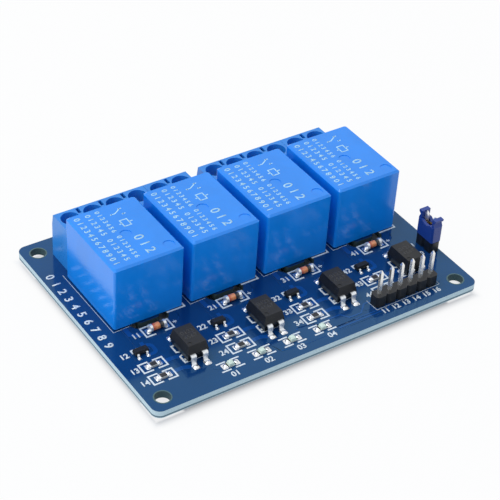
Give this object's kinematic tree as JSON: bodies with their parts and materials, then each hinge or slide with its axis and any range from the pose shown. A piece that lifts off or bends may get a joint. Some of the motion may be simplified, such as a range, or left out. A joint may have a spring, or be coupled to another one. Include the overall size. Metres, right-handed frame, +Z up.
{
  "type": "relay module board",
  "caption": "Blue circuit board with a row of relays, screw terminal blocks behind them, and optocouplers, diodes, a pin header and a jumper in front.",
  "frame": {"origin": "below the middle of the board, level with the tips of the leads it stands on", "axes": "+X along the row of relays towards the jumper's end, +Y from the input header to the screw terminals, +Z up from the leads to the relays"},
  "size_m": [0.075, 0.055, 0.0178],
  "materials": {
    "board_mask": "glossy blue solder mask over copper, white print",
    "solder": "bright solder",
    "relay_plastic": "smooth glossy blue moulding",
    "terminal_plastic": "smooth glossy blue moulding",
    "base_plastic": "plain black moulding",
    "tinned_metal": "tinned, slightly dull",
    "iron": "plated iron",
    "bobbin_plastic": "ivory moulding",
    "copper_wire": "enamelled copper",
    "brass": "plain brass",
    "header_plastic": "black moulding, fine grain",
    "pin_metal": "pale plated pin",
    "cap_plastic": "blue moulding",
    "chip_plastic": "charcoal moulding compound",
    "diode_glass": "orange-red glass",
    "resistor_ceramic": "black ceramic with tinned ends",
    "indicator_body": "white carrier, clear lens",
    "screw_steel": "plated steel, slotted head"
  },
  "bodies": {
    "board": {"circuit_board": "board_mask", "solder_joints": "solder", "relay_case_1": "relay_plastic", "relay_case_2": "relay_plastic", "relay_case_3": "relay_plastic", "relay_case_4": "relay_plastic", "relay_bases": "base_plastic", "relay_pins": "tinned_metal", "relay_yokes": "iron", "relay_cores": "iron", "relay_bobbins": "bobbin_plastic", "relay_windings": "copper_wire", "relay_contacts": "brass", "terminal_block_1": "terminal_plastic", "terminal_block_2": "terminal_plastic", "terminal_block_3": "terminal_plastic", "terminal_block_4": "terminal_plastic", "terminal_frames": "tinned_metal", "input_header_base": "header_plastic", "input_header_pins": "pin_metal", "jumper_header_base": "header_plastic", "jumper_header_pins": "pin_metal", "optocouplers": "chip_plastic", "optocoupler_leads": "tinned_metal", "transistors": "chip_plastic", "transistor_leads": "tinned_metal", "diodes": "diode_glass", "diode_caps": "tinned_metal", "resistors": "resistor_ceramic", "indicator_lights": "indicator_body"},
    "armature_1": {"relay_armature_1": "iron"},
    "armature_2": {"relay_armature_2": "iron"},
    "armature_3": {"relay_armature_3": "iron"},
    "armature_4": {"relay_armature_4": "iron"},
    "plate_1": {"terminal_plate_1": "brass"},
    "screw_1": {"terminal_screw_1": "screw_steel"},
    "plate_2": {"terminal_plate_2": "brass"},
    "screw_2": {"terminal_screw_2": "screw_steel"},
    "plate_3": {"terminal_plate_3": "brass"},
    "screw_3": {"terminal_screw_3": "screw_steel"},
    "plate_4": {"terminal_plate_4": "brass"},
    "screw_4": {"terminal_screw_4": "screw_steel"},
    "plate_5": {"terminal_plate_5": "brass"},
    "screw_5": {"terminal_screw_5": "screw_steel"},
    "plate_6": {"terminal_plate_6": "brass"},
    "screw_6": {"terminal_screw_6": "screw_steel"},
    "plate_7": {"terminal_plate_7": "brass"},
    "screw_7": {"terminal_screw_7": "screw_steel"},
    "plate_8": {"terminal_plate_8": "brass"},
    "screw_8": {"terminal_screw_8": "screw_steel"},
    "plate_9": {"terminal_plate_9": "brass"},
    "screw_9": {"terminal_screw_9": "screw_steel"},
    "plate_10": {"terminal_plate_10": "brass"},
    "screw_10": {"terminal_screw_10": "screw_steel"},
    "plate_11": {"terminal_plate_11": "brass"},
    "screw_11": {"terminal_screw_11": "screw_steel"},
    "plate_12": {"terminal_plate_12": "brass"},
    "screw_12": {"terminal_screw_12": "screw_steel"},
    "jumper": {"jumper_cap": "cap_plastic", "jumper_clip": "brass"}
  },
  "joints": [
    {"name": "armature_1_pull_in", "type": "hinge", "parent": "board", "child": "armature_1", "pos_m": [-0.02523, -0.00165, 0.01298], "axis": [-1, 0, 0], "range_deg": [0, 4], "stiffness_Nm_per_rad": 0.004, "springref_deg": -5.73},
    {"name": "armature_2_pull_in", "type": "hinge", "parent": "board", "child": "armature_2", "pos_m": [-0.00811, -0.00165, 0.01298], "axis": [-1, 0, 0], "range_deg": [0, 4], "stiffness_Nm_per_rad": 0.004, "springref_deg": -5.73},
    {"name": "armature_3_pull_in", "type": "hinge", "parent": "board", "child": "armature_3", "pos_m": [0.00901, -0.00165, 0.01298], "axis": [-1, 0, 0], "range_deg": [0, 4], "stiffness_Nm_per_rad": 0.004, "springref_deg": -5.73},
    {"name": "armature_4_pull_in", "type": "hinge", "parent": "board", "child": "armature_4", "pos_m": [0.02613, -0.00165, 0.01298], "axis": [-1, 0, 0], "range_deg": [0, 4], "stiffness_Nm_per_rad": 0.004, "springref_deg": -5.73},
    {"name": "plate_1_lift", "type": "slide", "parent": "board", "child": "plate_1", "axis": [0, 0, 1], "range_m": [0, 0.00175]},
    {"name": "screw_1_turn", "type": "hinge", "parent": "plate_1", "child": "screw_1", "pos_m": [-0.02923, 0.0195, 0.0082], "axis": [0, 0, 1], "range_deg": [0, 1260]},
    {"name": "plate_2_lift", "type": "slide", "parent": "board", "child": "plate_2", "axis": [0, 0, 1], "range_m": [0, 0.00175]},
    {"name": "screw_2_turn", "type": "hinge", "parent": "plate_2", "child": "screw_2", "pos_m": [-0.02414, 0.0195, 0.0082], "axis": [0, 0, 1], "range_deg": [0, 1260]},
    {"name": "plate_3_lift", "type": "slide", "parent": "board", "child": "plate_3", "axis": [0, 0, 1], "range_m": [0, 0.00175]},
    {"name": "screw_3_turn", "type": "hinge", "parent": "plate_3", "child": "screw_3", "pos_m": [-0.01906, 0.0195, 0.0082], "axis": [0, 0, 1], "range_deg": [0, 1260]},
    {"name": "plate_4_lift", "type": "slide", "parent": "board", "child": "plate_4", "axis": [0, 0, 1], "range_m": [0, 0.00175]},
    {"name": "screw_4_turn", "type": "hinge", "parent": "plate_4", "child": "screw_4", "pos_m": [-0.01398, 0.0195, 0.0082], "axis": [0, 0, 1], "range_deg": [0, 1260]},
    {"name": "plate_5_lift", "type": "slide", "parent": "board", "child": "plate_5", "axis": [0, 0, 1], "range_m": [0, 0.00175]},
    {"name": "screw_5_turn", "type": "hinge", "parent": "plate_5", "child": "screw_5", "pos_m": [-0.00885, 0.0195, 0.0082], "axis": [0, 0, 1], "range_deg": [0, 1260]},
    {"name": "plate_6_lift", "type": "slide", "parent": "board", "child": "plate_6", "axis": [0, 0, 1], "range_m": [0, 0.00175]},
    {"name": "screw_6_turn", "type": "hinge", "parent": "plate_6", "child": "screw_6", "pos_m": [-0.00377, 0.0195, 0.0082], "axis": [0, 0, 1], "range_deg": [0, 1260]},
    {"name": "plate_7_lift", "type": "slide", "parent": "board", "child": "plate_7", "axis": [0, 0, 1], "range_m": [0, 0.00175]},
    {"name": "screw_7_turn", "type": "hinge", "parent": "plate_7", "child": "screw_7", "pos_m": [0.00436, 0.0195, 0.0082], "axis": [0, 0, 1], "range_deg": [0, 1260]},
    {"name": "plate_8_lift", "type": "slide", "parent": "board", "child": "plate_8", "axis": [0, 0, 1], "range_m": [0, 0.00175]},
    {"name": "screw_8_turn", "type": "hinge", "parent": "plate_8", "child": "screw_8", "pos_m": [0.00945, 0.0195, 0.0082], "axis": [0, 0, 1], "range_deg": [0, 1260]},
    {"name": "plate_9_lift", "type": "slide", "parent": "board", "child": "plate_9", "axis": [0, 0, 1], "range_m": [0, 0.00175]},
    {"name": "screw_9_turn", "type": "hinge", "parent": "plate_9", "child": "screw_9", "pos_m": [0.01452, 0.0195, 0.0082], "axis": [0, 0, 1], "range_deg": [0, 1260]},
    {"name": "plate_10_lift", "type": "slide", "parent": "board", "child": "plate_10", "axis": [0, 0, 1], "range_m": [0, 0.00175]},
    {"name": "screw_10_turn", "type": "hinge", "parent": "plate_10", "child": "screw_10", "pos_m": [0.01961, 0.0195, 0.0082], "axis": [0, 0, 1], "range_deg": [0, 1260]},
    {"name": "plate_11_lift", "type": "slide", "parent": "board", "child": "plate_11", "axis": [0, 0, 1], "range_m": [0, 0.00175]},
    {"name": "screw_11_turn", "type": "hinge", "parent": "plate_11", "child": "screw_11", "pos_m": [0.02474, 0.0195, 0.0082], "axis": [0, 0, 1], "range_deg": [0, 1260]},
    {"name": "plate_12_lift", "type": "slide", "parent": "board", "child": "plate_12", "axis": [0, 0, 1], "range_m": [0, 0.00175]},
    {"name": "screw_12_turn", "type": "hinge", "parent": "plate_12", "child": "screw_12", "pos_m": [0.02983, 0.0195, 0.0082], "axis": [0, 0, 1], "range_deg": [0, 1260]},
    {"name": "jumper_pull_off", "type": "slide", "parent": "board", "child": "jumper", "axis": [0, 0, 1], "range_m": [0, 0.006]}
  ],
  "couplings": [
    {"joint": "screw_1_turn", "follows": "plate_1_lift", "rad_per_m": 12566},
    {"joint": "screw_2_turn", "follows": "plate_2_lift", "rad_per_m": 12566},
    {"joint": "screw_3_turn", "follows": "plate_3_lift", "rad_per_m": 12566},
    {"joint": "screw_4_turn", "follows": "plate_4_lift", "rad_per_m": 12566},
    {"joint": "screw_5_turn", "follows": "plate_5_lift", "rad_per_m": 12566},
    {"joint": "screw_6_turn", "follows": "plate_6_lift", "rad_per_m": 12566},
    {"joint": "screw_7_turn", "follows": "plate_7_lift", "rad_per_m": 12566},
    {"joint": "screw_8_turn", "follows": "plate_8_lift", "rad_per_m": 12566},
    {"joint": "screw_9_turn", "follows": "plate_9_lift", "rad_per_m": 12566},
    {"joint": "screw_10_turn", "follows": "plate_10_lift", "rad_per_m": 12566},
    {"joint": "screw_11_turn", "follows": "plate_11_lift", "rad_per_m": 12566},
    {"joint": "screw_12_turn", "follows": "plate_12_lift", "rad_per_m": 12566}
  ]
}
